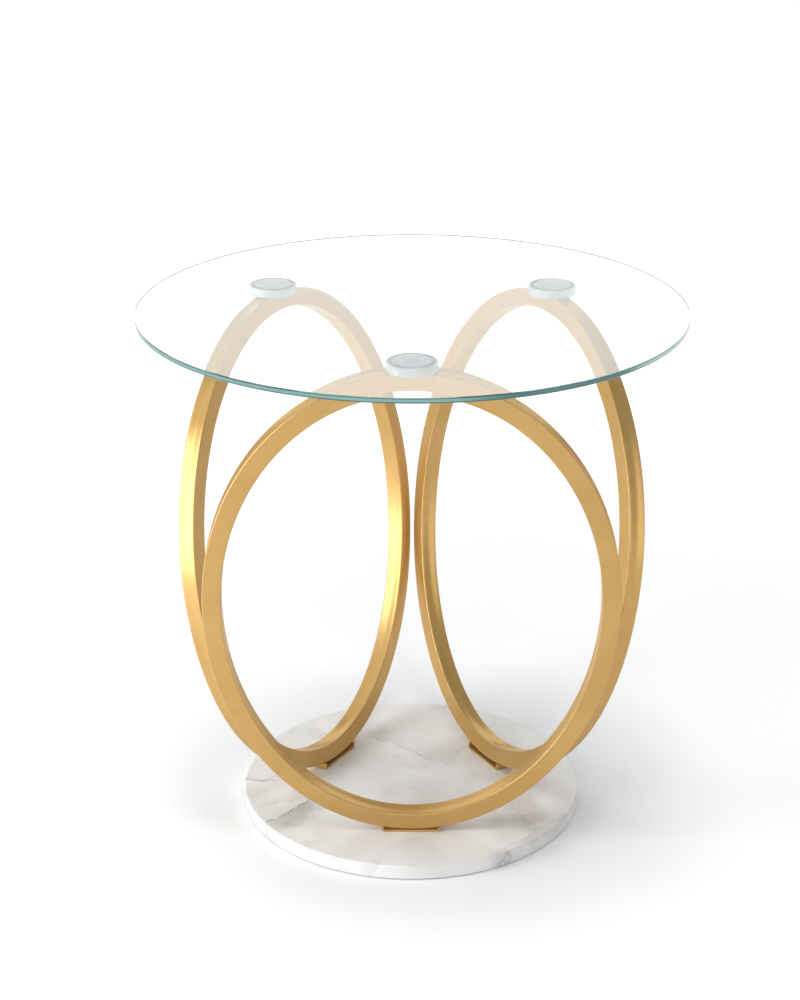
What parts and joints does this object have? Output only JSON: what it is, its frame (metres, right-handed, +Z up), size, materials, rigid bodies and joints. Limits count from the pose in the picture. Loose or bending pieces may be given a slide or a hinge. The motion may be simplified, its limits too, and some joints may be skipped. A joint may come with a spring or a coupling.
{
  "type": "side table",
  "caption": "Round side table: clear glass top on leaning oval gold hoops, bolted to a round white marble base.",
  "frame": {"origin": "on the floor, under the middle of the table", "axes": "+Z up, -Y towards the front hoop, +X to the right as seen from the front"},
  "size_m": [0.4999, 0.5, 0.5],
  "materials": {
    "clear_glass": "clear tempered glass with a polished, slightly green edge",
    "gold_paint": "satin metallic gold",
    "white_marble": "polished white marble with soft grey veins",
    "clear_vinyl": "clear soft vinyl, slightly cloudy",
    "zinc_steel": "zinc-plated steel",
    "dark_foam": "matte closed-cell foam"
  },
  "bodies": {
    "root": {"glass_top": "clear_glass", "base_slab": "white_marble", "floor_pad_1": "dark_foam", "floor_pad_2": "dark_foam", "floor_pad_3": "dark_foam", "floor_pad_4": "dark_foam", "floor_pad_5": "dark_foam", "floor_pad_6": "dark_foam", "hoop_front": "gold_paint", "foot_plate_front": "gold_paint", "pad_insert_front": "zinc_steel", "pad_stud_front": "zinc_steel", "glass_pad_front": "clear_vinyl", "foot_bolts_front": "zinc_steel", "foot_washers_front": "zinc_steel", "lock_washers_front": "zinc_steel", "hoop_rear_right": "gold_paint", "foot_plate_rear_right": "gold_paint", "pad_insert_rear_right": "zinc_steel", "pad_stud_rear_right": "zinc_steel", "glass_pad_rear_right": "clear_vinyl", "foot_bolts_rear_right": "zinc_steel", "foot_washers_rear_right": "zinc_steel", "lock_washers_rear_right": "zinc_steel", "hoop_rear_left": "gold_paint", "foot_plate_rear_left": "gold_paint", "pad_insert_rear_left": "zinc_steel", "pad_stud_rear_left": "zinc_steel", "glass_pad_rear_left": "clear_vinyl", "foot_bolts_rear_left": "zinc_steel", "foot_washers_rear_left": "zinc_steel", "lock_washers_rear_left": "zinc_steel"}
  },
  "joints": []
}
